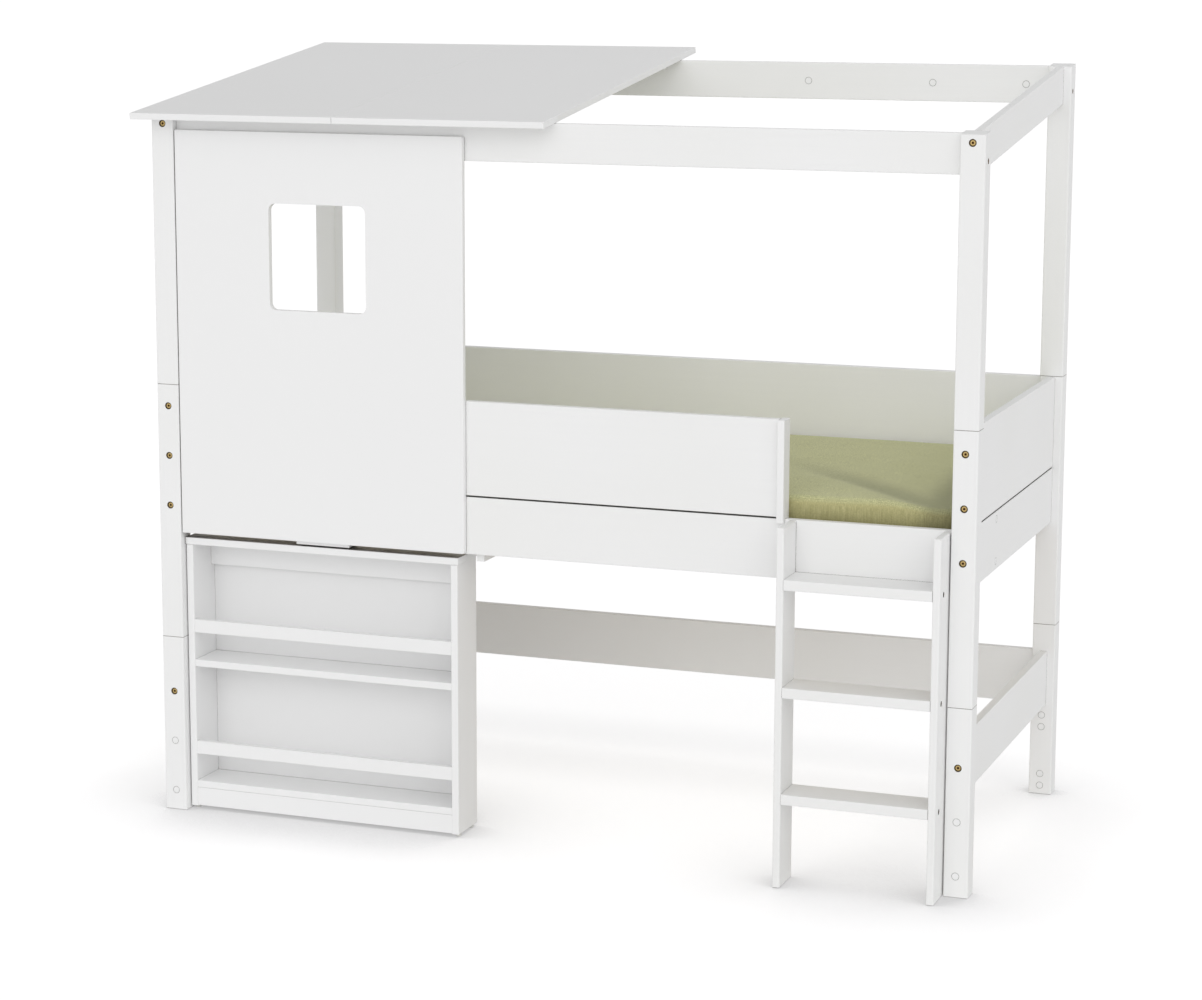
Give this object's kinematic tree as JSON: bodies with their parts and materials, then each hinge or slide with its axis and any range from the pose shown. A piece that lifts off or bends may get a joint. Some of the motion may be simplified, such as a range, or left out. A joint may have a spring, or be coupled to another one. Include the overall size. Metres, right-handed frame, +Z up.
{
  "type": "cabin bed",
  "caption": "White timber cabin bed with a sloping canopy, a half roof, a window wall, guard boards, a fixed ladder, a low bookcase and a mattress with a green fitted sheet.",
  "frame": {"origin": "on the floor, in the middle of the whole outline", "axes": "+X along the bed towards the ladder end, +Y from the ladder side to the back, +Z up"},
  "size_m": [2.12, 1.1468, 1.9117],
  "materials": {
    "white_lacquered_pine": "satin white lacquer on solid pine",
    "white_lacquered_panel": "satin white lacquer on board",
    "white_backing_board": "matt white on thin hardboard",
    "raw_pine": "planed raw pine",
    "raw_beech": "turned raw beech",
    "webbing": "woven band",
    "mattress_cover": "knitted cover over foam",
    "green_jersey": "matt sage green jersey",
    "brassed_steel": "brass-coloured passivated steel",
    "zinced_steel": "zinc-plated steel",
    "white_plug": "moulded white plastic",
    "pale_glide": "moulded pale grey plastic"
  },
  "bodies": {
    "frame": {"post_lower_front_left": "white_lacquered_pine", "post_lower_front_right": "white_lacquered_pine", "post_lower_rear_left": "white_lacquered_pine", "post_lower_rear_right": "white_lacquered_pine", "post_middle_front_left": "white_lacquered_pine", "post_middle_front_right": "white_lacquered_pine", "post_middle_rear_left": "white_lacquered_pine", "post_middle_rear_right": "white_lacquered_pine", "post_upper_front_left": "white_lacquered_pine", "post_upper_front_right": "white_lacquered_pine", "post_upper_rear_left": "white_lacquered_pine", "post_upper_rear_right": "white_lacquered_pine", "low_board_rear": "white_lacquered_pine", "low_board_left": "white_lacquered_pine", "low_board_right": "white_lacquered_pine", "side_rail_front": "white_lacquered_pine", "side_rail_rear": "white_lacquered_pine", "end_rail_left": "white_lacquered_pine", "end_rail_right": "white_lacquered_pine", "guard_front": "white_lacquered_pine", "guard_rear": "white_lacquered_pine", "guard_left": "white_lacquered_pine", "guard_right": "white_lacquered_pine", "guard_stile": "white_lacquered_pine", "canopy_rail_front": "white_lacquered_pine", "canopy_rail_rear": "white_lacquered_pine", "canopy_rail_left": "white_lacquered_pine", "canopy_rail_right": "white_lacquered_pine", "roof_board_left": "white_lacquered_panel", "roof_board_right": "white_lacquered_panel", "roof_battens": "white_lacquered_panel", "wall_panel": "white_lacquered_panel", "slat_bearers": "white_lacquered_pine", "slats": "raw_pine", "slat_straps": "webbing", "ladder_stile_left": "white_lacquered_pine", "ladder_stile_right": "white_lacquered_pine", "ladder_tread_low": "white_lacquered_pine", "ladder_tread_middle": "white_lacquered_pine", "ladder_tread_top": "white_lacquered_pine", "rail_plate": "white_lacquered_pine", "connector_bolts": "brassed_steel", "cross_dowels": "zinced_steel", "joint_pins": "raw_beech", "hook_connectors": "zinced_steel", "cover_plugs": "white_plug", "wood_screws": "zinced_steel"},
    "mattress": {"mattress": "mattress_cover", "fitted_sheet": "green_jersey"},
    "bookcase": {"bookcase_top": "white_lacquered_panel", "bookcase_side_left": "white_lacquered_panel", "bookcase_side_right": "white_lacquered_panel", "bookcase_shelf_middle": "white_lacquered_panel", "bookcase_shelf_low": "white_lacquered_panel", "bookcase_plinth": "white_lacquered_panel", "bookcase_lips": "white_lacquered_panel", "bookcase_back": "white_backing_board", "bookcase_stretcher": "white_lacquered_panel", "bookcase_glides": "pale_glide", "bookcase_dowels": "raw_beech"}
  },
  "joints": [
    {"name": "mattress_lift", "type": "slide", "parent": "frame", "child": "mattress", "axis": [0, 0, 1], "range_m": [0, 0.32]},
    {"name": "bookcase_pull", "type": "slide", "parent": "frame", "child": "bookcase", "axis": [0, -1, 0], "range_m": [0, 0.4]}
  ]
}
